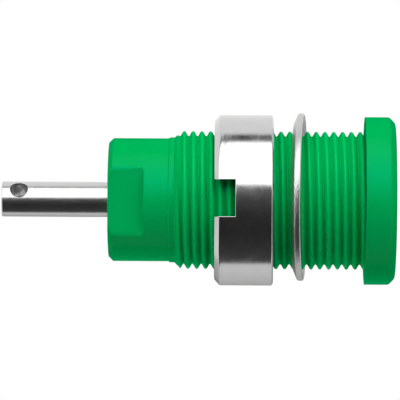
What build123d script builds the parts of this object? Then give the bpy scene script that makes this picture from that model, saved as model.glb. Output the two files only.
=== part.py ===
from build123d import *
import os
from math import cos, radians, sin, tan

# Panel socket for a 4 mm plug with a shroud. All sizes are in millimetres.
# The origin is the centre of the collar's rear face, which seats on the front of a panel.
# +X runs along the axis and out of the front of the panel, and +Z is up.

# Shank behind the panel, M12 x 0.75, at the diameter of the thread's crests
shank_diameter = 11.76
body_length = 21.79
lead_length = 0.5
lead_angle = 45

# Collar in front of the panel, as wide as the washer, and how far the nut overhangs them
flange_width = 1.27
collar_thickness = 2.58
collar_chamfer = 0.52
nut_overhang = 0.12

# Plain rear end of the housing, low enough for the nut to pass, with two flats for a spanner
rear_relief = 0.63
rear_length = 5.1
rear_chamfer = 0.38
lead_step = 0.09
flat_cut = 0.85
flat_length = 3.05
flat_fillet = 0.12

# Turned contact, pushed in from the front until its shoulder meets the housing's end wall
bore_diameter = 4.0
contact_wall = 0.5
contact_recess = 3.5
bore_chamfer = 0.35
bore_floor = 0.6
drill_angle = 118
barb_height = 0.15
barb_length = 0.8
barb_offset = 1.2
fit_clearance = 0.02
end_wall = 1.9

# Central sleeve round the contact, and the ring-shaped cavity round the sleeve for the plug's shroud
sleeve_wall = 0.58
sleeve_recess = 1.2
sleeve_chamfer = 0.15
cavity_width = 1.1
cavity_chamfer = 0.35
base_thickness = 3.9

# Solder pin, turned in one with the contact, and the land that fills the end wall round its root
pin_diameter = 3.0
pin_length = 9.15
pin_chamfer = 0.12
land_step = 0.2
wire_hole_diameter = 1.5
wire_hole_inset = 1.42
wire_hole_turn = 37

# Dished spring washer, which hangs loose on the shank
washer_play = 0.32
washer_thickness = 0.55
washer_dish = 0.35
washer_edge = 0.1
washer_gap = 5.15
washer_clearance = 0.02
washer_swing = 3.2

# Slotted ring nut
nut_width = 5.0
nut_gap = 1.73
nut_clearance = 0.1
nut_bore_chamfer = 0.3
nut_rear_chamfer_length = 0.44
nut_rear_chamfer_height = 0.5
nut_front_chamfer_length = 0.13
nut_front_chamfer_height = 0.24
slot_width = 3.05
slot_depth = 1.8
slot_turn = 3.5

# Diameters that follow from the shank and the bore
collar_diameter = shank_diameter + 2 * flange_width
washer_diameter = collar_diameter
nut_diameter = collar_diameter + 2 * nut_overhang
washer_hole = shank_diameter + 2 * washer_play
nut_bore = shank_diameter + 2 * nut_clearance
rear_diameter = shank_diameter - 2 * rear_relief
lead_diameter = rear_diameter + 2 * lead_step
contact_diameter = bore_diameter + 2 * contact_wall
sleeve_diameter = contact_diameter + 2 * fit_clearance + 2 * sleeve_wall
cavity_diameter = sleeve_diameter + 2 * cavity_width
land_diameter = pin_diameter + 2 * land_step

# Places along the axis
collar_front = collar_thickness
rear_end = -body_length
rear_step = rear_end + rear_length
cavity_floor = rear_end + base_thickness
contact_seat = rear_end + end_wall
contact_front = collar_front - contact_recess
barb_start = contact_seat + barb_offset
pin_tip = rear_end - pin_length
washer_rim = -washer_gap
nut_front = washer_rim - washer_thickness - washer_dish - nut_gap
nut_rear = nut_front - nut_width


def circle_at(part, x, diameter):
    """The circular edges of a part that lie at one place along the axis and have one diameter."""
    circles = part.edges().filter_by(GeomType.CIRCLE)
    return circles.filter_by(lambda edge: abs(edge.center().X - x) < 1e-3).filter_by(
        lambda edge: abs(2 * edge.radius - diameter) < 1e-3
    )


def barb_outline(extra):
    """Half-section of the saw-tooth ring that holds the contact, grown by a clearance."""
    radius = contact_diameter / 2 + extra
    return [
        (barb_start - extra, radius),
        (barb_start + barb_length + extra, radius),
        (barb_start + barb_length + extra, radius + barb_height),
    ]


# Housing: one moulding with the collar, the shank, the rear end and the central sleeve
lead_run = (shank_diameter - lead_diameter) / 2 / tan(radians(lead_angle))
lead_end = rear_step + lead_length
with BuildPart() as housing:
    with BuildSketch(Plane.XY):
        with BuildLine():
            Polyline(
                (rear_end, 0),
                (rear_end, rear_diameter / 2),
                (rear_step, rear_diameter / 2),
                (rear_step + (lead_diameter - rear_diameter) / 2, lead_diameter / 2),
                (lead_end, lead_diameter / 2),
                (lead_end + lead_run, shank_diameter / 2),
                (0, shank_diameter / 2),
                (0, collar_diameter / 2),
                (collar_front, collar_diameter / 2),
                (collar_front, 0),
                close=True,
            )
        make_face()
    revolve(axis=Axis.X)
    chamfer(circle_at(housing, collar_front, collar_diameter), length=collar_chamfer)
    chamfer(circle_at(housing, rear_end, rear_diameter), length=rear_chamfer)

    # Two flats let in from the rear end, each with a small fillet at the foot of its end wall
    flat_end = rear_end + flat_length
    flat_place = rear_diameter / 2 - flat_cut
    with BuildSketch(Plane.XY):
        with Locations((rear_end, flat_place), (rear_end, -flat_place - flat_cut)):
            Rectangle(flat_length, flat_cut, align=(Align.MIN, Align.MIN))
    extrude(amount=rear_diameter / 2, both=True, mode=Mode.SUBTRACT)
    flat_corners = housing.edges().filter_by(Axis.Z).filter_by(lambda edge: abs(edge.center().X - flat_end) < 1e-3)
    fillet(flat_corners, radius=flat_fillet)

    # Ring-shaped cavity for the shroud, left round the sleeve
    with BuildSketch(Plane.YZ.offset(collar_front)):
        Circle(cavity_diameter / 2)
        Circle(sleeve_diameter / 2, mode=Mode.SUBTRACT)
    extrude(amount=cavity_floor - collar_front, mode=Mode.SUBTRACT)
    with BuildSketch(Plane.YZ.offset(collar_front)):
        Circle(sleeve_diameter / 2)
    extrude(amount=-sleeve_recess, mode=Mode.SUBTRACT)
    chamfer(circle_at(housing, collar_front, cavity_diameter), length=cavity_chamfer)
    sleeve_front = collar_front - sleeve_recess
    chamfer(circle_at(housing, sleeve_front, sleeve_diameter), length=sleeve_chamfer)

    # Bore of the sleeve for the contact, with the recess that its barb presses, and the land's hole
    with BuildSketch(Plane.YZ.offset(sleeve_front)):
        Circle(contact_diameter / 2 + fit_clearance)
    extrude(amount=contact_seat - sleeve_front, mode=Mode.SUBTRACT)
    with BuildSketch(Plane.XY):
        with BuildLine():
            Polyline(*barb_outline(fit_clearance), close=True)
        make_face()
    revolve(axis=Axis.X, mode=Mode.SUBTRACT)
    with BuildSketch(Plane.YZ.offset(rear_end)):
        Circle(land_diameter / 2 + fit_clearance)
    extrude(amount=end_wall, mode=Mode.SUBTRACT)

# Contact: a tube with a drilled bore in front, a land that fills the end wall, and the solder pin
drill_tip = bore_diameter / 2 / tan(radians(drill_angle / 2))
bore_end = contact_seat + bore_floor + drill_tip
with BuildPart() as contact:
    with BuildSketch(Plane.YZ.offset(contact_seat)):
        Circle(contact_diameter / 2)
    extrude(amount=contact_front - contact_seat)
    with BuildSketch(Plane.XY):
        with BuildLine():
            Polyline(*barb_outline(0), close=True)
        make_face()
    revolve(axis=Axis.X)
    with BuildSketch(Plane.YZ.offset(contact_seat)):
        Circle(land_diameter / 2)
    extrude(amount=-end_wall)
    with BuildSketch(Plane.YZ.offset(rear_end)):
        Circle(pin_diameter / 2)
    extrude(amount=-pin_length)
    chamfer(circle_at(contact, pin_tip, pin_diameter), length=pin_chamfer)

    with BuildSketch(Plane.XY):
        with BuildLine():
            Polyline(
                (contact_front, 0),
                (contact_front, bore_diameter / 2 + bore_chamfer),
                (contact_front - bore_chamfer, bore_diameter / 2),
                (bore_end, bore_diameter / 2),
                (bore_end - drill_tip, 0),
                close=True,
            )
        make_face()
    revolve(axis=Axis.X, mode=Mode.SUBTRACT)

    # Cross hole for the wire, turned up from the near side
    turn = radians(wire_hole_turn)
    wire_hole_plane = Plane(
        origin=(pin_tip + wire_hole_inset, 0, 0), x_dir=(1, 0, 0), z_dir=(0, -cos(turn), sin(turn))
    )
    with BuildSketch(wire_hole_plane):
        Circle(wire_hole_diameter / 2)
    extrude(amount=pin_diameter, both=True, mode=Mode.SUBTRACT)

# Spring washer: its dish opens towards the collar, and its hole rests on the shank's underside
washer_lift = washer_play - washer_clearance
washer_plane = Plane(origin=(washer_rim, 0, washer_lift)).rotated((0, 0, -washer_swing))
with BuildPart() as spring_washer:
    with BuildSketch(washer_plane):
        with BuildLine():
            Polyline(
                (0, washer_diameter / 2),
                (-washer_thickness, washer_diameter / 2),
                (-washer_thickness - washer_dish, washer_hole / 2),
                (-washer_dish, washer_hole / 2),
                close=True,
            )
        make_face()
    revolve(axis=Axis(washer_plane.origin, washer_plane.x_dir))
    rim_edges = spring_washer.edges().filter_by(GeomType.CIRCLE).group_by(SortBy.RADIUS)[-1]
    chamfer(rim_edges, length=washer_edge)

# Ring nut: a turned ring with two slots across its rear face
with BuildPart() as ring_nut:
    with BuildSketch(Plane.XY):
        with BuildLine():
            Polyline(
                (nut_rear, nut_bore / 2 + nut_bore_chamfer),
                (nut_rear, nut_diameter / 2 - nut_rear_chamfer_height),
                (nut_rear + nut_rear_chamfer_length, nut_diameter / 2),
                (nut_front - nut_front_chamfer_length, nut_diameter / 2),
                (nut_front, nut_diameter / 2 - nut_front_chamfer_height),
                (nut_front, nut_bore / 2 + nut_bore_chamfer),
                (nut_front - nut_bore_chamfer, nut_bore / 2),
                (nut_rear + nut_bore_chamfer, nut_bore / 2),
                close=True,
            )
        make_face()
    revolve(axis=Axis.X)
    with BuildSketch(Plane.YZ.offset(nut_rear)):
        Rectangle(2 * nut_diameter, slot_width, rotation=-slot_turn)
    extrude(amount=slot_depth, mode=Mode.SUBTRACT)

housing.part.label = "housing"
contact.part.label = "contact"
spring_washer.part.label = "spring_washer"
ring_nut.part.label = "ring_nut"

os.makedirs("parts", exist_ok=True)
export_step(housing.part, "parts/housing.step")
export_step(contact.part, "parts/contact.step")
export_step(spring_washer.part, "parts/spring_washer.step")
export_step(ring_nut.part, "parts/ring_nut.step")
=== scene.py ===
from math import cos, pi, radians, sin, sqrt, tan

import bmesh
import bpy
import numpy as np
from mathutils import Matrix, Vector


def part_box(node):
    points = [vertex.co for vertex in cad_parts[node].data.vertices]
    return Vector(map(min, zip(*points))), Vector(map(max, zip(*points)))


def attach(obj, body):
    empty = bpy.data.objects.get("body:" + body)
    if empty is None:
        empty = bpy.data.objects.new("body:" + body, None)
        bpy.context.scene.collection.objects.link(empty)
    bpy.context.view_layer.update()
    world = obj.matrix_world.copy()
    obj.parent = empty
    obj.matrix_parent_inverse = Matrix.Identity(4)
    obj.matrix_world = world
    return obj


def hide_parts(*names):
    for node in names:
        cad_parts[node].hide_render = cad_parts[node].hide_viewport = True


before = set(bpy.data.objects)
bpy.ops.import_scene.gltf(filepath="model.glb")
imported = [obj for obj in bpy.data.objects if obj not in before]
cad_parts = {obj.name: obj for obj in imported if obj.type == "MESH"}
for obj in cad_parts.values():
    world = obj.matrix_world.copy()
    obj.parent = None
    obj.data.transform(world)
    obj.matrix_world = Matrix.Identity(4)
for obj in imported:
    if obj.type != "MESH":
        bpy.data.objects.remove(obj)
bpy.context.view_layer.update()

# The socket lies along X, with its collar in front at +X and its solder pin behind at -X. Sizes in the
# dictionaries are millimetres and degrees, and a piece is brought to the frame's metres when its mesh is made.
# Angles about the axis start at +Y and turn towards +Z, so the side that faces the camera is at 180 degrees. The
# materials' own depths are in metres, and their scales count how many times finer a pattern is than a metre.
mm = 0.001
tiny = 1e-6  # keeps a division away from 0
housingLow, housingHigh = [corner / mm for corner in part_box("housing")]
contactLow, contactHigh = [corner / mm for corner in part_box("contact")]
nutLow, nutHigh = [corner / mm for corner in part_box("ring_nut")]
rearEnd = housingLow.x
collarFront = housingHigh.x


# Mesh tools

def turnPoints(x, radius, angle):
    # A turned surface: each point lies at x along the axis, at its radius, turned by its angle about the axis
    x, radius, angle = np.broadcast_arrays(x, radius, angle)
    return np.stack([x, radius * np.cos(angle), radius * np.sin(angle)], -1)


def gridQuads(rows, columns, closedRows=False, seamShift=0):
    # Quads between neighbours in a grid whose last column joins the first, seamShift rows further on
    row, column = np.meshgrid(np.arange(rows if closedRows else rows - 1), np.arange(columns), indexing="ij")
    nextColumn = (column + 1) % columns
    nextRow = row + 1
    jump = np.where(column == columns - 1, seamShift, 0)
    if closedRows:
        nextRow = nextRow % rows
    corners = [(row, column), (row + jump, nextColumn), (nextRow + jump, nextColumn), (nextRow, column)]
    quads = np.stack([r * columns + c for r, c in corners], -1)
    return quads[(nextRow + jump < rows) & (row + jump < rows)]


def rowsOf(*pairs):
    # Stacks (x, radius) pairs into two arrays with a row for each pair and one column, or as many as the widest
    stacks = [np.stack(np.broadcast_arrays(*values)) for values in zip(*pairs)]
    return [stack.reshape(len(pairs), -1) for stack in stacks]


def turnedGrid(angle, *pairs):
    # The grid of a turned surface from its rows, each an (x, radius) pair, which may change round the axis
    points = turnPoints(*rowsOf(*pairs), angle)
    return points, gridQuads(*points.shape[:2])


def roundedCorner(before, corner, after, radius, steps=6):
    # The arc of one radius that touches both sides of a corner of a section, as (x, radius) pairs. Its centre lies
    # midway between the sides, at the radius over the sine of half their angle, and its steps are even.
    before, corner, after = [np.array(place, float) for place in (before, corner, after)]
    first = (before - corner) / np.linalg.norm(before - corner)
    second = (after - corner) / np.linalg.norm(after - corner)
    half = np.arccos(first @ second) / 2
    middle = (first + second) / np.linalg.norm(first + second)
    start = first / tan(half) - middle / sin(half)
    end = second / tan(half) - middle / sin(half)
    share = np.linspace(0, 1, steps)[:, None]
    sweep = pi - 2 * half
    arc = (np.sin((1 - share) * sweep) * start + np.sin(share * sweep) * end) / sin(sweep)
    return [tuple(pair) for pair in corner + radius * (middle / sin(half) + arc)]


def roundedSection(corners, radii):
    # An open section whose inner corners are rounded, each by its own radius, 0 for a sharp one
    section = [corners[0]]
    for before, corner, after, radius in zip(corners, corners[1:], corners[2:], radii):
        section += roundedCorner(before, corner, after, radius) if radius else [corner]
    return section + [corners[-1]]


def readPlaces(items, label):
    # The places of a mesh's vertices or faces in millimetres, a row for each
    places = np.zeros(len(items) * 3)
    items.foreach_get(label, places)
    return places.reshape(-1, 3) / mm


def writeMarks(mesh, name, domain, values):
    # Gives a mesh an attribute, with one number for each of its points, edges or faces
    mesh.attributes.new(name, "FLOAT", domain).data.foreach_set("value", values.astype(np.float32))


meshRules = {
    "mergeDistance": 0.0004,
    "sharpAngle": 35,
    "wallTilt": 0.0001,  # how far the normal of a flat wall may lean along the axis
    "wallTurn": 0.5,  # and how far out from it
    "bevelSegments": 2,
}


def makePiece(name, blocks, material, node, rounding, spared=None):
    # Joins the grids of a piece into one closed mesh, rounds its sharp edges and gives it its material
    grids = [points.reshape(-1, 3) for points, quads in blocks]
    starts = np.cumsum([0] + [len(grid) for grid in grids])
    faces = np.concatenate([quads + start for (points, quads), start in zip(blocks, starts)])
    mesh = bpy.data.meshes.new(name)
    mesh.from_pydata((np.concatenate(grids) * mm).tolist(), [], faces.tolist())
    work = bmesh.new()
    work.from_mesh(mesh)
    merge = meshRules["mergeDistance"] * mm
    bmesh.ops.remove_doubles(work, verts=work.verts, dist=merge)
    bmesh.ops.dissolve_degenerate(work, edges=work.edges, dist=merge)
    bmesh.ops.delete(work, geom=[vertex for vertex in work.verts if not vertex.link_faces], context="VERTS")
    joinWalls(work)
    bmesh.ops.recalc_face_normals(work, faces=work.faces)
    openEdges = sum(1 for edge in work.edges if len(edge.link_faces) != 2)
    work.to_mesh(mesh)
    work.free()
    mesh.shade_smooth()
    mesh.set_sharp_from_angle(angle=radians(meshRules["sharpAngle"]))
    weighEdges(mesh, spared)
    piece = bpy.data.objects.new(name, mesh)
    bpy.context.scene.collection.objects.link(piece)
    bevel = piece.modifiers.new("edgeRounding", "BEVEL")
    bevel.limit_method = "WEIGHT"
    bevel.width = rounding * mm
    bevel.segments = meshRules["bevelSegments"]
    bevel.harden_normals = True
    mesh.materials.append(material)
    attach(piece, "root")
    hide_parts(node)
    print("made", name, "with", len(mesh.polygons), "faces and", openEdges, "open edges")
    return piece


def joinWalls(work):
    # Makes one face of each flat wall that faces round the axis, so that the rounding of its edges has room
    work.normal_update()
    walls = []
    for face in work.faces:
        middle = face.calc_center_median()
        outward = Vector((0, middle.y, middle.z)).normalized()
        alongAxis, away = abs(face.normal.x), abs(face.normal.dot(outward))
        if alongAxis < meshRules["wallTilt"] and away < meshRules["wallTurn"]:
            walls.append(face)
    if walls:
        bmesh.ops.dissolve_faces(work, faces=walls)


def weighEdges(mesh, spared):
    # A sharp edge takes part in the rounding, unless its middle lies in what is spared: between two places along
    # the axis, and further out than a radius
    ends = np.zeros(len(mesh.edges) * 2, np.int32)
    rounded = np.zeros(len(mesh.edges), bool)
    mesh.edges.foreach_get("vertices", ends)
    mesh.edges.foreach_get("use_edge_sharp", rounded)
    if spared:
        start, end, inside = spared
        x, y, z = readPlaces(mesh.vertices, "co")[ends.reshape(-1, 2)].mean(1).T
        rounded &= ~((x > start) & (x < end) & (np.hypot(y, z) > inside))
    writeMarks(mesh, "bevel_weight_edge", "EDGE", rounded)


# Materials

noiseLook = {"ringDetail": 3.0, "mottleDetail": 4.0, "middle": 0.5}  # shared by all the materials


def shaderGroup(name, inputs, outputs):
    # An empty node group with float inputs and outputs, and its two end nodes
    group = bpy.data.node_groups.new(name, "ShaderNodeTree")
    for label, value in inputs.items():
        socket = group.interface.new_socket(label, in_out="INPUT", socket_type="NodeSocketFloat")
        socket.default_value = value
    for label, kind in outputs.items():
        group.interface.new_socket(label, in_out="OUTPUT", socket_type=kind)
    start = group.nodes.new("NodeGroupInput")
    end = group.nodes.new("NodeGroupOutput")
    return group, group.nodes, group.links, start, end


def newMaterial(name):
    # A new material with its nodes, its links and its shader
    material = bpy.data.materials.new(name)
    material.use_nodes = True
    nodes, links = material.node_tree.nodes, material.node_tree.links
    return material, nodes, links, nodes["Principled BSDF"]


def groupNode(nodes, group, values):
    # Places a group in a material, with the material's own values for its inputs
    node = nodes.new("ShaderNodeGroup")
    node.node_tree = group
    for label, value in values.items():
        node.inputs[label].default_value = value
    return node


def feedSocket(links, socket, value):
    # Links the output of a node to a socket, or sets the socket to a plain number or colour
    if isinstance(value, bpy.types.NodeSocket):
        links.new(value, socket)
    elif isinstance(value, (int, float)):
        socket.default_value = value
    else:
        socket.default_value = (*value, 1)


def mathNode(nodes, links, operation, *values):
    # One step of arithmetic on plain numbers and the outputs of other nodes
    node = nodes.new("ShaderNodeMath")
    node.operation = operation
    for socket, value in zip(node.inputs, values):
        feedSocket(links, socket, value)
    return node.outputs[0]


def mixNode(nodes, links, kind, factor, low, high):
    # A colour or a number that goes straight from low to high as the factor goes from 0 to 1
    mix = nodes.new("ShaderNodeMix")
    mix.data_type = kind
    for label, value in {"Factor": factor, "A": low, "B": high}.items():
        feedSocket(links, mix.inputs[label], value)
    return mix.outputs["Result"]


def rampValue(nodes, links, value, low, high, start=0.0, end=1.0, clamp=False):
    # A number that goes straight from low to high as the value goes from start to end, and on beyond them unless
    # it is clamped
    ramp = nodes.new("ShaderNodeMapRange")
    ramp.clamp = clamp
    for label, limit in {"From Min": start, "From Max": end, "To Min": low, "To Max": high}.items():
        ramp.inputs[label].default_value = limit
    links.new(value, ramp.inputs["Value"])
    return ramp.outputs["Result"]


def marksNode(nodes, name):
    # The number that a mesh's attribute holds at each place
    marks = nodes.new("ShaderNodeAttribute")
    marks.attribute_name = name
    return marks.outputs["Fac"]


def makeTurningMarks():
    # Fine rings left by the lathe: noise over the place along the axis and the distance from it, both times Rings.
    # The height times Rings and Wander is its third way, so that the rings change round the axis too. It gives a
    # grey value, and a normal bumped by it.
    inputs = {"Rings": 9000.0, "Wander": 0.02, "Depth": 0.000002}
    outputs = {"Value": "NodeSocketFloat", "Normal": "NodeSocketVector"}
    group, nodes, links, start, end = shaderGroup("turningMarks", inputs, outputs)
    place = nodes.new("ShaderNodeTexCoord")
    split = nodes.new("ShaderNodeSeparateXYZ")
    links.new(place.outputs["Object"], split.inputs[0])
    squares = [mathNode(nodes, links, "POWER", split.outputs[label], 2.0) for label in "YZ"]
    fromAxis = mathNode(nodes, links, "SQRT", mathNode(nodes, links, "ADD", *squares))
    wander = mathNode(nodes, links, "MULTIPLY", split.outputs["Z"], start.outputs["Wander"])
    rings = nodes.new("ShaderNodeCombineXYZ")
    for socket, way in zip(rings.inputs, (split.outputs["X"], fromAxis, wander)):
        links.new(mathNode(nodes, links, "MULTIPLY", way, start.outputs["Rings"]), socket)
    noise = nodes.new("ShaderNodeTexNoise")
    noise.inputs["Scale"].default_value = 1.0
    noise.inputs["Detail"].default_value = noiseLook["ringDetail"]
    links.new(rings.outputs[0], noise.inputs["Vector"])
    bump = nodes.new("ShaderNodeBump")
    links.new(noise.outputs["Fac"], bump.inputs["Height"])
    links.new(start.outputs["Depth"], bump.inputs["Distance"])
    links.new(noise.outputs["Fac"], end.inputs["Value"])
    links.new(bump.outputs["Normal"], end.inputs["Normal"])
    return group


def makeMottle():
    # Cloudy unevenness of a surface: soft noise, finer by Size, whose distance from its middle is divided by
    # Spread, so that it fills 0 to 1
    inputs = {"Size": 400.0, "Spread": 0.5}
    group, nodes, links, start, end = shaderGroup("mottle", inputs, {"Value": "NodeSocketFloat"})
    place = nodes.new("ShaderNodeTexCoord")
    noise = nodes.new("ShaderNodeTexNoise")
    noise.inputs["Detail"].default_value = noiseLook["mottleDetail"]
    links.new(place.outputs["Object"], noise.inputs["Vector"])
    links.new(start.outputs["Size"], noise.inputs["Scale"])
    centred = mathNode(nodes, links, "SUBTRACT", noise.outputs["Fac"], noiseLook["middle"])
    spread = mathNode(nodes, links, "DIVIDE", centred, start.outputs["Spread"])
    links.new(mathNode(nodes, links, "ADD", spread, noiseLook["middle"]), end.inputs["Value"])
    return group


turningMarks = makeTurningMarks()
mottle = makeMottle()


plasticLook = {
    "darkGreen": (0.0, 0.345, 0.071),
    "lightGreen": (0.0, 0.375, 0.078),
    "clouds": {"Size": 350.0, "Spread": 0.6},
    "roughness": (0.36, 0.44),
    "ior": 1.38,
    "rimGloss": (0.5, 0.0),  # where the surface faces the view, and where it turns away
    "rimFacing": (0.05, 0.36),  # how far it is turned away at those two
    "paintedThreadLight": (1.0, 1.25),  # painted light multiplying the green: off the thread, and on its crests
    "rootShare": 0.1,  # of the crests' painted light, in the thread's roots
    "specularTint": (0.0, 0.8, 1.0),
    "sheen": 0.06,
    "sheenTint": (0.0, 0.5, 1.0),
    "grain": {"Size": 5000.0, "Spread": 0.6},
    "grainDepth": 0.0000004,
}


def makeGreenPlastic():
    # Moulded plastic: clouds lead the green and the roughness from one value to the other, a painted light
    # multiplies the green on the thread, most on its crests, as its attribute goes from 0 to 1, the gloss falls off
    # as the surface turns away from the view, and a fine grain bumps it
    look = plasticLook
    material, nodes, links, shader = newMaterial("greenPlastic")
    clouds = groupNode(nodes, mottle, look["clouds"]).outputs["Value"]
    green = mixNode(nodes, links, "RGBA", clouds, look["darkGreen"], look["lightGreen"])
    lighter = nodes.new("ShaderNodeVectorMath")
    lighter.operation = "SCALE"
    links.new(green, lighter.inputs[0])
    # painted light: the green is lightened on the thread, most on its crests
    links.new(rampValue(nodes, links, marksNode(nodes, "paintedLightOnThread"), *look["paintedThreadLight"]), lighter.inputs["Scale"])
    links.new(lighter.outputs[0], shader.inputs["Base Color"])
    links.new(rampValue(nodes, links, clouds, *look["roughness"]), shader.inputs["Roughness"])
    facing = nodes.new("ShaderNodeLayerWeight").outputs["Facing"]
    gloss = rampValue(nodes, links, facing, *look["rimGloss"], *look["rimFacing"], clamp=True)
    links.new(gloss, shader.inputs["Specular IOR Level"])
    shader.inputs["Specular Tint"].default_value = (*look["specularTint"], 1)
    shader.inputs["IOR"].default_value = look["ior"]
    shader.inputs["Sheen Weight"].default_value = look["sheen"]
    shader.inputs["Sheen Tint"].default_value = (*look["sheenTint"], 1)
    bump = nodes.new("ShaderNodeBump")
    bump.inputs["Distance"].default_value = look["grainDepth"]
    links.new(groupNode(nodes, mottle, look["grain"]).outputs["Value"], bump.inputs["Height"])
    links.new(bump.outputs["Normal"], shader.inputs["Normal"])
    return material


metalLook = {
    "contactNickel": {"dark": (0.59, 0.59, 0.585), "light": (0.64, 0.64, 0.635), "roughness": (0.20, 0.26),
                      "marks": {"Rings": 7000.0, "Wander": 0.02, "Depth": 0.0000004}},
    "nutNickel": {"dark": (0.56, 0.56, 0.556), "light": (0.64, 0.64, 0.635), "roughness": (0.12, 0.24),
                  "marks": {"Rings": 4500.0, "Wander": 0.3, "Depth": 0.00001}},
    "washerNickel": {"dark": (0.52, 0.53, 0.52), "light": (0.60, 0.60, 0.59), "roughness": (0.30, 0.42),
                     "marks": {"Rings": 6000.0, "Wander": 0.5, "Depth": 0.00004}},
    "clouds": {"Size": 900.0, "Spread": 0.5},
    # painted shade on the wire hole's wall, dark and light in patches
    "drilled": {"dark": (0.12, 0.12, 0.118), "light": (0.56, 0.56, 0.55), "roughness": 0.22,
                "patches": {"Size": 1800.0, "Spread": 0.3}},
}


def makeNickel(name):
    # Nickel plating over a turned surface: the mean of the turning marks and the clouds leads the colour and the
    # roughness from one value to the other, and the marks bump it. The wire hole's wall is darkened with painted
    # shade, patchy between a dark and a light tone, and has one roughness.
    look, drilledLook = metalLook[name], metalLook["drilled"]
    material, nodes, links, shader = newMaterial(name)
    shader.inputs["Metallic"].default_value = 1.0
    marks = groupNode(nodes, turningMarks, look["marks"])
    clouds = groupNode(nodes, mottle, metalLook["clouds"])
    total = mathNode(nodes, links, "ADD", marks.outputs["Value"], clouds.outputs["Value"])
    mean = mathNode(nodes, links, "DIVIDE", total, 2.0)
    tone = mixNode(nodes, links, "RGBA", mean, look["dark"], look["light"])
    roughness = rampValue(nodes, links, mean, *look["roughness"])
    # painted shade: the wire hole's wall is darkened
    drilled = marksNode(nodes, "drilled")
    patches = groupNode(nodes, mottle, drilledLook["patches"]).outputs["Value"]
    drilledTone = mixNode(nodes, links, "RGBA", patches, drilledLook["dark"], drilledLook["light"])
    links.new(mixNode(nodes, links, "RGBA", drilled, tone, drilledTone), shader.inputs["Base Color"])
    links.new(mixNode(nodes, links, "FLOAT", drilled, roughness, drilledLook["roughness"]),
              shader.inputs["Roughness"])
    links.new(marks.outputs["Normal"], shader.inputs["Normal"])
    return material


greenPlastic = makeGreenPlastic()
contactNickel = makeNickel("contactNickel")
nutNickel = makeNickel("nutNickel")
washerNickel = makeNickel("washerNickel")
print("made the materials")


# Housing

housingShape = {
    "columns": 144,
    "shankDiameter": 11.76,
    "pitch": 0.75,
    "threadDepth": 0.42,
    "crestRadius": 0.15,
    "crestPlace": -0.395,  # along the axis, of a crest at the top
    "spareTurns": 3,  # of the thread's grid past either end
    "threadMargin": 0.01,
    "rearDiameter": 10.5,
    "rearLength": 5.1,
    "rearChamfer": 0.38,
    "leadStep": 0.09,
    "leadLength": 0.5,
    "leadAngle": 45,
    "flatDepth": 0.85,
    "flatLength": 3.05,
    "flatFillet": 0.12,
    "filletSteps": 7,
    "collarChamfer": 0.52,
    "collarRounding": 0.4,
    "cavityDiameter": 8.4,
    "cavityChamfer": 0.35,
    "baseThickness": 3.9,
    "sleeveDiameter": 6.2,
    "sleeveRecess": 1.2,
    "sleeveChamfer": 0.15,
    "boreDiameter": 5.04,
    "barbHeight": 0.15,
    "barbOffset": 1.18,  # from the seat of the contact's shoulder
    "barbLength": 0.84,
    "endWall": 1.9,
    "landHole": 3.44,
    "edgeRounding": 0.035,
}
rearStep = rearEnd + housingShape["rearLength"]
leadEnd = rearStep + housingShape["leadLength"]
leadRadius = housingShape["rearDiameter"] / 2 + housingShape["leadStep"]
contactSeat = rearEnd + housingShape["endWall"]
threadInside = housingShape["shankDiameter"] / 2 - 2 * housingShape["threadDepth"]  # well under the roots


def threadProfile():
    # Half a turn's profile, from crest to root: an arc over the crest, a straight flank at 60 degrees to the
    # axis, and an arc in the root. Its radius is the height of a sharp thread less the depth and the crest's arc.
    shape = housingShape
    pitch, crest, depth = shape["pitch"], shape["crestRadius"], shape["threadDepth"]
    root = pitch * sqrt(3) / 2 - depth - crest
    top = shape["shankDiameter"] / 2
    over = np.radians([0, 20, 40, 60])  # round the crest, as far as the flank
    under = np.radians([60, 30, 0])  # and on from the flank into the root
    along = np.concatenate([crest * np.sin(over), pitch / 2 - root * np.sin(under)])
    radius = np.concatenate([top - crest * (1 - np.cos(over)), top - depth + root * (1 - np.cos(under))])
    return along, radius


def helixPlace(angle):
    # How far a crest has moved along the axis at an angle: one pitch in each turn, counted from the top
    return housingShape["pitch"] * (angle - pi / 2) / (2 * pi)


def threadRadius(x, angle):
    # The thread's radius at a place: the profile's, at the distance from the nearest crest, cut down by the cone at
    # the shank's rear end
    pitch = housingShape["pitch"]
    along, radius = threadProfile()
    fromCrest = x - housingShape["crestPlace"] - helixPlace(angle)
    offset = np.abs((fromCrest + pitch / 2) % pitch - pitch / 2)
    cone = leadRadius + (x - leadEnd) * tan(radians(housingShape["leadAngle"]))
    return np.minimum(np.interp(offset, along, radius), np.maximum(cone, leadRadius))


def threadBlock(angle):
    # Rows that follow the helix, so that crests, flanks and roots stay sharp. Rows past either end are held at
    # its plane, where they close up.
    shape = housingShape
    along = threadProfile()[0]
    turn = np.concatenate([-along[::-1], along[1:-1]])  # the rows of one turn, from root to root
    first = int((leadEnd - shape["crestPlace"]) / shape["pitch"]) - shape["spareTurns"]
    turns = np.arange(first, shape["spareTurns"])
    rows = (shape["crestPlace"] + turns[:, None] * shape["pitch"] + turn).ravel()
    x = np.clip(rows[:, None] + helixPlace(angle), leadEnd, 0)
    points = turnPoints(x, threadRadius(x, angle), angle)
    return points, gridQuads(*x.shape, seamShift=len(turn))


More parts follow.
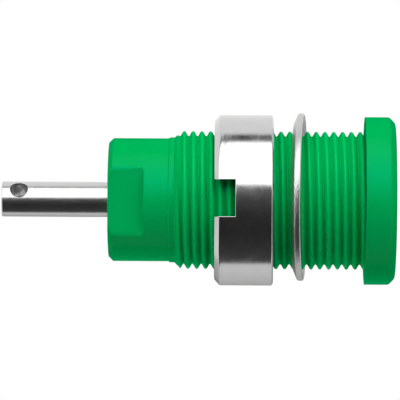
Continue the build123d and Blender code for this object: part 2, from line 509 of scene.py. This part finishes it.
def rearBlock(angle):
    # The rear end: a chamfered cylinder cut by two flats. A flat lies at one distance from the axis, so its
    # radius is that distance over the cosine of the angle, up to the cylinder. A small fillet leads from the flat
    # to the straight wall at its end, and rises by its radius times 1 less the cosine of the angle gone round it.
    shape = housingShape
    radius, fillet = shape["rearDiameter"] / 2, shape["flatFillet"]
    flat = radius - shape["flatDepth"]
    slope = np.maximum(np.abs(np.cos(angle)), tiny)
    face = np.minimum(radius - shape["rearChamfer"], flat / slope)
    rim = np.minimum(radius, flat / slope)
    rimPlace = rearEnd + np.maximum(rim - radius + shape["rearChamfer"], 0)
    rise = np.clip((radius * slope - flat) / fillet, 0, 1)
    lift = np.arccos(1 - rise) * np.linspace(0, 1, shape["filletSteps"])[:, None]
    arcPlace = rearEnd + shape["flatLength"] - fillet + fillet * np.sin(lift)
    arcRadius = np.minimum(radius, (flat + fillet * (1 - np.cos(lift))) / slope)
    return turnedGrid(
        angle,
        (rearEnd, shape["landHole"] / 2),
        (rearEnd, face),
        (rimPlace, rim),
        *zip(arcPlace, arcRadius),
        (arcPlace[-1], radius),
        (rearStep, radius),
        (rearStep + shape["leadStep"], leadRadius),
        (leadEnd, leadRadius),
    )


def frontBlock(angle):
    # The collar, the ring-shaped cavity, the sleeve, and the bore that holds the contact
    shape = housingShape
    collar = housingHigh.z
    cavity, sleeve, bore = [shape[key] / 2 for key in ("cavityDiameter", "sleeveDiameter", "boreDiameter")]
    floor = rearEnd + shape["baseThickness"]
    sleeveFront = collarFront - shape["sleeveRecess"]
    barbStart = contactSeat + shape["barbOffset"]
    barbEnd = barbStart + shape["barbLength"]
    nose = [(0, collar), (collarFront - shape["collarChamfer"], collar),
            (collarFront, collar - shape["collarChamfer"]), (collarFront, cavity + shape["cavityChamfer"])]
    return turnedGrid(
        angle,
        (0, threadRadius(0, angle)),
        *roundedSection(nose, [shape["collarRounding"]] * 2),
        (collarFront - shape["cavityChamfer"], cavity),
        (floor, cavity),
        (floor, sleeve),
        (sleeveFront - shape["sleeveChamfer"], sleeve),
        (sleeveFront, sleeve - shape["sleeveChamfer"]),
        (sleeveFront, bore),
        (barbEnd, bore),
        (barbEnd, bore + shape["barbHeight"]),
        (barbStart, bore),
        (contactSeat, bore),
        (contactSeat, shape["landHole"] / 2),
        (rearEnd, shape["landHole"] / 2),
    )


def makeHousing():
    # Columns are even, apart from those moved to the corners of the flats, whose angle is the arccosine of the
    # flat's distance from the axis over the radius that it cuts
    shape = housingShape
    angle = np.arange(shape["columns"]) * 2 * pi / shape["columns"]
    radius = shape["rearDiameter"] / 2
    for edge in (radius, radius - shape["rearChamfer"]):
        corner = np.arccos((radius - shape["flatDepth"]) / edge)
        for place in (corner, pi - corner, pi + corner, 2 * pi - corner):
            angle[np.abs(angle - place).argmin()] = place
    blocks = [rearBlock(angle), threadBlock(angle), frontBlock(angle)]
    spared = (leadEnd - shape["threadMargin"], shape["threadMargin"], threadInside)
    piece = makePiece("housingMoulding", blocks, greenPlastic, "housing", shape["edgeRounding"],
                      spared)
    markPaintedThreadLight(piece.data)


def markPaintedThreadLight(mesh):
    # Marks the painted light on the thread for the material, which lightens the green there: 1 on its crests,
    # rootShare in its roots, straight between them by height, and 0 on all the plain surfaces
    x, y, z = readPlaces(mesh.vertices, "co").T
    radius = np.hypot(y, z)
    height = (radius - housingShape["shankDiameter"] / 2) / housingShape["threadDepth"] + 1
    paintedLightOnThread = (x > leadEnd) & (x < 0) & (radius > threadInside)
    rootShare = plasticLook["rootShare"]
    writeMarks(mesh, "paintedLightOnThread", "POINT", paintedLightOnThread * (rootShare + (1 - rootShare) * np.clip(height, 0, 1)))


makeHousing()


# Contact with its solder pin

contactShape = {
    "columns": 96,
    "pinDiameter": 3.0,
    "pinChamfer": 0.08,
    "landDiameter": 3.4,
    "wireHole": 1.5,
    "wireHoleInset": 1.5,
    "wireHoleTurn": 37,
    "patchLength": 2.46,  # along the pin, of the grid that is opened for the wire hole
    "patchColumns": 16,  # to either side of the hole's middle
    "holeShare": 0.5,  # of those, which the hole takes
    "drilledReach": 1.2,  # from the axis, which the middles of the hole's own faces keep within
    "bodyDiameter": 5.0,
    "barbHeight": 0.15,
    "barbOffset": 1.2,  # from the shoulder
    "barbLength": 0.8,
    "boreDiameter": 4.0,
    "boreChamfer": 0.35,
    "boreFloor": 0.6,  # from the shoulder to the drill's point
    "drillLength": 1.202,
    "edgeRounding": 0.04,
}


def patchAround(radius, place, across, holeRadius, half, spread):
    # Opens a hole in the grid of a cylinder. A point's nearness is the larger of its two distances from the hole's
    # middle, 1 at the patch's edge. Up to holeShare it lies on the hole's rim, at 1 on the patch's edge, and
    # between them on the straight way from one to the other. On the rim its place is the hole's radius times the
    # cosine of its direction, and its turn the arcsine of (the hole's radius times the sine, over the cylinder's).
    share = contactShape["holeShare"]
    nearness = np.maximum(np.abs(place), np.abs(across))
    safe = np.maximum(nearness, tiny)
    around = np.arctan2(across, place)
    blend = np.clip((nearness - share) / (1 - share), 0, 1)
    rimPlace = holeRadius * np.cos(around)
    rimTurn = np.arcsin(holeRadius * np.sin(around) / radius)
    newPlace = rimPlace + blend * (half * place / safe - rimPlace)
    newTurn = rimTurn + blend * (spread * across / safe - rimTurn)
    return newPlace, newTurn


def makeContact():
    # One turning, from the tip of the pin to the mouth of the bore, with the wire hole across the pin
    shape = contactShape
    columns, patch = shape["columns"], shape["patchColumns"]
    radius, hole = shape["pinDiameter"] / 2, shape["wireHole"] / 2
    holeAngle = pi - radians(shape["wireHoleTurn"])
    angle = holeAngle + np.arange(columns) * 2 * pi / columns
    tip, front = contactLow.x, contactHigh.x
    centre = tip + shape["wireHoleInset"]
    half = shape["patchLength"] / 2
    spread = patch * 2 * pi / columns

    # The pin's wall, with the two mouths of the wire hole on opposite sides
    steps = np.arange(-patch, patch + 1)
    offset = (np.arange(columns) + patch) % (columns // 2) - patch  # columns from the middle of a mouth
    place, across = np.broadcast_arrays(steps[:, None] / patch, offset / patch)
    inside = np.abs(across) <= 1
    newPlace, newTurn = patchAround(radius, place, across, hole, half, spread)
    x = centre + np.where(inside, newPlace, place * half)
    wall = turnPoints(x, radius, angle + np.where(inside, newTurn - across * spread, 0))
    quads = gridQuads(*x.shape)
    nearness = np.maximum(np.abs(place), np.abs(across)).ravel()
    wallQuads = quads[(nearness[quads] > shape["holeShare"] + tiny).any(1)]

    # The hole's own wall, from one mouth to the other, whose points follow the edge of the opened squares
    side = int(patch * shape["holeShare"])
    edge, end = np.arange(-side, side), np.full(2 * side, side)
    around = np.arctan2(np.concatenate([-end, edge, end, -edge]), np.concatenate([edge, end, -edge, -end]))
    mouth = np.arcsin(hole * np.sin(around) / radius)
    mouths = np.stack([holeAngle + mouth, holeAngle + pi - mouth])
    holeWall = turnPoints(centre + hole * np.cos(around), radius, mouths)

    # The rest of the contact, turned
    bore, body, land = [shape[key] / 2 for key in ("boreDiameter", "bodyDiameter", "landDiameter")]
    barbStart = contactSeat + shape["barbOffset"]
    barbEnd = barbStart + shape["barbLength"]
    drillTip = contactSeat + shape["boreFloor"]
    tipBlock = turnedGrid(
        angle,
        (tip, 0),
        (tip, radius - shape["pinChamfer"]),
        (tip + shape["pinChamfer"], radius),
        (centre - half, radius),
    )
    bodyBlock = turnedGrid(
        angle,
        (centre + half, radius),
        (rearEnd, radius),
        (rearEnd, land),
        (contactSeat, land),
        (contactSeat, body),
        (barbStart, body),
        (barbEnd, body + shape["barbHeight"]),
        (barbEnd, body),
        (front, body),
        (front, bore + shape["boreChamfer"]),
        (front - shape["boreChamfer"], bore),
        (drillTip + shape["drillLength"], bore),
        (drillTip, 0),
    )
    blocks = [tipBlock, (wall, wallQuads), (holeWall, gridQuads(*holeWall.shape[:2])), bodyBlock]
    piece = makePiece("contactAndPin", blocks, contactNickel, "contact", shape["edgeRounding"])
    markShadedHole(piece.data, centre)


def markShadedHole(mesh, centre):
    # Marks the wire hole's wall, whose faces have their middles deep inside the pin, for the painted shade that the
    # material puts there
    x, y, z = readPlaces(mesh.polygons, "center").T
    inHole = np.abs(x - centre) < contactShape["wireHole"] / 2
    writeMarks(mesh, "drilled", "FACE", inHole & (np.hypot(y, z) < contactShape["drilledReach"]))


makeContact()


# Ring nut

nutShape = {
    "slotColumns": 13,
    "arcColumns": 61,
    "boreDiameter": 11.96,
    "boreChamfer": 0.3,
    "rearChamfer": (0.44, 0.5),  # along the axis, and out from it
    "rearRounding": 0.22,
    "frontChamfer": (0.13, 0.24),
    "frontRounding": 0.12,
    "slotWidth": 3.05,
    "slotDepth": 1.8,
    "slotTurn": 3.5,
    "edgeRounding": 0.07,
}


def makeRingNut():
    # One closed section carried round the axis. Over a slot, what lies behind the slot's floor is drawn into the
    # floor's outer and inner edge. Each side of a slot is a column on which both sections stand, so that the side
    # is a flat wall: at any radius it lies half the slot's width from the slot's middle, at an angle of arcsine
    # (half width / radius).
    shape = nutShape
    outer, bore, chamfer = nutHigh.y, shape["boreDiameter"] / 2, shape["boreChamfer"]
    rear, front = nutLow.x, nutHigh.x
    floor = rear + shape["slotDepth"]
    rearLength, rearHeight = shape["rearChamfer"]
    frontLength, frontHeight = shape["frontChamfer"]
    rearSide = [(rear, bore + chamfer), (rear, outer - rearHeight), (rear + rearLength, outer), (floor, outer)]
    frontSide = [(floor, outer), (front - frontLength, outer), (front, outer - frontHeight),
                 (front, bore + chamfer)]
    section = np.array([
        *roundedSection(rearSide, [shape["rearRounding"]] * 2),
        *roundedSection(frontSide, [shape["frontRounding"]] * 2)[1:],
        (front - chamfer, bore),
        (floor, bore),
        (rear + chamfer, bore),
    ])
    x, r = section[:, :1], section[:, 1:]
    slotX = np.maximum(x, floor)
    slotR = np.where(x >= floor, r, np.where(r > (bore + outer) / 2, outer, bore))
    edge, slotEdge = [np.arcsin(shape["slotWidth"] / 2 / radius) for radius in (r, slotR)]
    slotStep = np.linspace(-1, 1, shape["slotColumns"])
    arcStep = np.linspace(0, 1, shape["arcColumns"])
    parts = []  # in turn a slot, and the arc from it to the next
    for middle in (pi - radians(shape["slotTurn"]), 2 * pi - radians(shape["slotTurn"])):
        parts.append(turnPoints(slotX, slotR, middle + slotEdge * slotStep))
        parts.append(turnPoints(x, r, middle + edge + (pi - 2 * edge) * arcStep))
    points = np.concatenate(parts, 1)
    quads = gridQuads(*points.shape[:2], closedRows=True)
    makePiece("slottedRingNut", [(points, quads)], nutNickel, "ring_nut", shape["edgeRounding"])


makeRingNut()


# Spring washer

washerShape = {
    "columns": 144,
    "rimPlace": -5.15,
    "lift": 0.30,
    "swing": 3.2,
    "outerDiameter": 14.3,
    "holeDiameter": 12.4,
    "thickness": 0.55,
    "dish": 0.35,
    "rimChamfer": 0.1,
    "rimBreak": (0.15, 0.09),  # along the axis, and out from it
    "shearWander": 0.02,
    "waves": ((5, 0.4, 0.5), (11, 1.9, 0.3), (17, 4.0, 0.2)),  # periods, phase and share of each
    "faceShare": 0.3,  # of the wander, that the rim's corners on the two faces take
    "edgeRounding": 0.05,
}


def makeWasher():
    # A slanted section carried round the washer's own axis, which is swung a little. The punch left the rim
    # uneven: the sum of slow sine waves round it moves its corners.
    shape = washerShape
    angle = np.arange(shape["columns"]) * 2 * pi / shape["columns"]
    outer, hole = shape["outerDiameter"] / 2, shape["holeDiameter"] / 2
    thick, dish, chamfer = shape["thickness"], shape["dish"], shape["rimChamfer"]
    breakLength, breakHeight = shape["rimBreak"]
    periods, phases, shares = np.array(shape["waves"]).T[:, :, None]
    wander = shape["shearWander"] * (shares * np.sin(periods * angle + phases)).sum(0)
    faceWander = shape["faceShare"] * wander
    x, r = rowsOf(
        (-chamfer, outer),
        (-thick + breakLength + wander, outer),
        (-thick + faceWander, outer - breakHeight),
        (-thick - dish, hole),
        (-dish, hole),
        (0, outer - chamfer + faceWander),
    )
    tilt = Matrix.Rotation(radians(-shape["swing"]), 3, "Z")
    points = turnPoints(x, r, angle) @ np.array(tilt).T + np.array([shape["rimPlace"], 0, shape["lift"]])
    quads = gridQuads(*points.shape[:2], closedRows=True)
    makePiece("dishedWasher", [(points, quads)], washerNickel, "spring_washer",
              shape["edgeRounding"])


makeWasher()


# Studio: a pale floor and a white surround, lamps that light the plastic, and curved cards, pale and dark, that
# the metal shows. Lamps and cards span a range of heights, in degrees above the horizon in front of the object.

studio = {
    "floorDrop": 60.0,
    "floorSize": 6000.0,
    "floorGlow": 0.75,
    "floorTone": 0.3,
    "floorNear": 200.0,  # the paper's tone and glow run to plain white from here
    "floorFar": 500.0,  # to here
    "ambient": 0.02,
    "softbox": {"from": 21, "to": 86, "distance": 160.0, "length": 400.0, "level": 2.6},
    "crown": {"from": 92, "to": 165, "distance": 250.0, "length": 300.0, "level": 0.5},
    "under": {"from": -175, "to": -120, "distance": 52.0, "length": 60.0, "level": 4.0},
    "left": {"from": -55, "to": -5, "distance": 64.0, "length": 60.0, "level": 1.02, "turn": -75},
    "right": {"from": -55, "to": -5, "distance": 64.0, "length": 60.0, "level": 0.78, "turn": 75},
    "cardRows": 24,
    "cardBends": 9,  # columns over which a card turns down beside the pin
    "pinTurnPlace": (-21.0, -14.5),
    "pinTurnSpread": 0.04,  # of a card's distance, by which that place lies further out
    "frontCard": {"from": -87, "to": 21, "distance": 52.0, "length": 130.0, "pinTurn": 9.0,
                  "tones": (0.065, 0.045, 0.033, 0.025, 0.028, 0.06, 0.15)},
    "shineCard": {"from": 10, "to": 86, "distance": 160.0, "length": 600.0, "pinTurn": 7.0, "tones": (2.2, 2.2)},
    "topCard": {"from": 80, "to": 100, "distance": 170.0, "length": 600.0, "pinTurn": 10.0, "tones": (0.03, 0.03)},
    "lowCard": {"from": -178, "to": -82, "distance": 54.0, "length": 110.0, "pinTurn": -5.0,
                "tones": (0.0, 0.45, 0.64, 0.78, 0.93)},
}


def seenDirectly(nodes, links):
    # 1 for the rays that show the background: from the camera, off metal, or through glass
    path = nodes.new("ShaderNodeLightPath")
    either = mathNode(nodes, links, "MAXIMUM", path.outputs["Is Camera Ray"], path.outputs["Is Glossy Ray"])
    return mathNode(nodes, links, "MAXIMUM", either, path.outputs["Is Transmission Ray"])


def newPaper(name):
    # A material without shine, which can glow white
    material, nodes, links, shader = newMaterial(name)
    shader.inputs["Roughness"].default_value = 1.0
    shader.inputs["Specular IOR Level"].default_value = 0.0
    shader.inputs["Emission Color"].default_value = (1, 1, 1, 1)
    return material, nodes, links, shader


def makeFloorMaterial():
    # White paper under the object, which takes its shadow, and a plain white ground further off: the distance from
    # the middle leads the tone down to 0 and the glow up to 1
    material, nodes, links, shader = newPaper("floorWhite")
    place = nodes.new("ShaderNodeTexCoord")
    reach = nodes.new("ShaderNodeVectorMath")
    reach.operation = "LENGTH"
    links.new(place.outputs["Object"], reach.inputs[0])
    away = rampValue(nodes, links, reach.outputs["Value"], 0.0, 1.0, studio["floorNear"] * mm,
                     studio["floorFar"] * mm, clamp=True)
    tone = mixNode(nodes, links, "RGBA", away, [studio["floorTone"]] * 3, (0, 0, 0))
    glow = rampValue(nodes, links, away, studio["floorGlow"], 1.0)
    links.new(tone, shader.inputs["Base Color"])
    links.new(mathNode(nodes, links, "MULTIPLY", glow, seenDirectly(nodes, links)),
              shader.inputs["Emission Strength"])
    return material


def makeCardMaterial():
    # Card whose brightness comes from the attribute "tone"
    material, nodes, links, shader = newPaper("cardPaper")
    shader.inputs["Base Color"].default_value = (0, 0, 0, 1)
    links.new(marksNode(nodes, "tone"), shader.inputs["Emission Strength"])
    return material


def stageMesh(name, points, quads, material):
    # Makes a mesh that belongs to the studio and not to the object
    mesh = bpy.data.meshes.new(name)
    mesh.from_pydata((points.reshape(-1, 3) * mm).tolist(), [], quads.tolist())
    mesh.materials.append(material)
    thing = bpy.data.objects.new(name, mesh)
    bpy.context.scene.collection.objects.link(thing)
    return thing


def makeCard(name, look, material):
    # A curved card round the axis, between two heights. Its tones stand at even steps from its lower edge to its
    # upper one, and run straight from each to the next. Beside the solder pin it is turned down by its pinTurn,
    # from a place that lies further out on a card further off. Where two cards overlap, the nearer one hides the
    # other.
    rows = studio["cardRows"]
    reach = housingLow.x / 2 + np.array([-1, 1]) * look["length"] / 2
    turnPlace = np.array(studio["pinTurnPlace"]) - studio["pinTurnSpread"] * look["distance"]
    x = np.hstack([reach[0], np.linspace(*turnPlace, studio["cardBends"]), reach[1]])
    turn = np.interp(x, turnPlace, (look["pinTurn"], 0.0))
    heights = np.linspace(look["from"], look["to"], rows)[:, None] - turn
    points = turnPoints(x, look["distance"], pi - np.radians(heights))
    quads = gridQuads(rows, len(x)).reshape(rows - 1, -1, 4)[:, :-1].reshape(-1, 4)  # without the joined column
    card = stageMesh(name, points, quads, material)
    tones = np.interp(np.linspace(0, 1, rows), np.linspace(0, 1, len(look["tones"])), look["tones"])
    writeMarks(card.data, "tone", "POINT", np.repeat(tones, len(x)))
    card.visible_camera = False
    card.visible_shadow = False
    card.visible_diffuse = False


def makeLamp(name, look):
    # A flat lamp in front of the object that spans a range of heights, as bright as a white of the given level: its
    # power is the level times pi times its area. Its turn takes it round to the side, from the front towards +X.
    middle = radians((look["to"] + look["from"]) / 2)
    spread = radians((look["to"] - look["from"]) / 2)
    lamp = bpy.data.lights.new(name, "AREA")
    lamp.shape = "RECTANGLE"
    lamp.size = look["length"] * mm
    lamp.size_y = 2 * look["distance"] * tan(spread) * mm
    lamp.energy = look["level"] * pi * lamp.size * lamp.size_y
    thing = bpy.data.objects.new(name, lamp)
    turn = radians(look.get("turn", 0))
    place = Vector((0, -cos(middle) * look["distance"], sin(middle) * look["distance"]))
    thing.location = (Matrix.Rotation(turn, 3, "Z") @ place + Vector((housingLow.x / 2, 0, 0))) * mm
    thing.rotation_euler = (pi / 2 - middle, 0, turn)
    thing.visible_camera = False
    thing.visible_glossy = False
    bpy.context.scene.collection.objects.link(thing)


def makeStudio():
    # The floor, the cards, the lamps, and a world that is white to look at and lights the object hardly at all
    half = studio["floorSize"] / 2
    corners = np.array([(-half, -half), (half, -half), (half, half), (-half, half)], float)
    floor = np.hstack([corners, np.full((4, 1), -studio["floorDrop"])])
    stageMesh("floor", floor, np.array([[0, 1, 2, 3]]), makeFloorMaterial())
    paper = makeCardMaterial()
    for name in ("frontCard", "shineCard", "topCard", "lowCard"):
        makeCard(name, studio[name], paper)
    for name in ("softbox", "crown", "under", "left", "right"):
        makeLamp(name, studio[name])
    world = bpy.data.worlds.new("studioWhite")
    world.use_nodes = True
    bpy.context.scene.world = world
    nodes, links = world.node_tree.nodes, world.node_tree.links
    seen = mixNode(nodes, links, "RGBA", seenDirectly(nodes, links), [studio["ambient"]] * 3, (1, 1, 1))
    links.new(seen, nodes["Background"].inputs["Color"])
    print("made the studio")


makeStudio()


# Camera: nearly level, at the photograph's distance

cameraView = {
    "alongAxis": -9.335,
    "distance": 330.0,
    "height": 2.0,  # degrees above the horizon
    "target": (-14.035, 0.0, 0.0),
    "roll": 0.3,
    "lens": 347.8,
    "sensor": 36,
    "clip": (10, 10000),
}


def makeCamera():
    # Stands at one distance from the axis, at an angle above the horizon, looks at the target, and is rolled a
    # little about its own line of sight
    view = cameraView
    height = radians(view["height"])
    place = Vector((view["alongAxis"], -view["distance"] * cos(height), view["distance"] * sin(height)))
    aim = Vector(view["target"]) - place
    lens = bpy.data.cameras.new("camera")
    lens.lens = view["lens"]
    lens.sensor_width = view["sensor"]
    lens.clip_start, lens.clip_end = [limit * mm for limit in view["clip"]]
    camera = bpy.data.objects.new("camera", lens)
    turn = aim.to_track_quat("-Z", "Y").to_matrix() @ Matrix.Rotation(radians(view["roll"]), 3, "Z")
    camera.matrix_world = Matrix.Translation(place * mm) @ turn.to_4x4()
    bpy.context.scene.collection.objects.link(camera)
    bpy.context.scene.camera = camera
    print("made the camera")


makeCamera()
bpy.context.scene.view_settings.view_transform = "Standard"
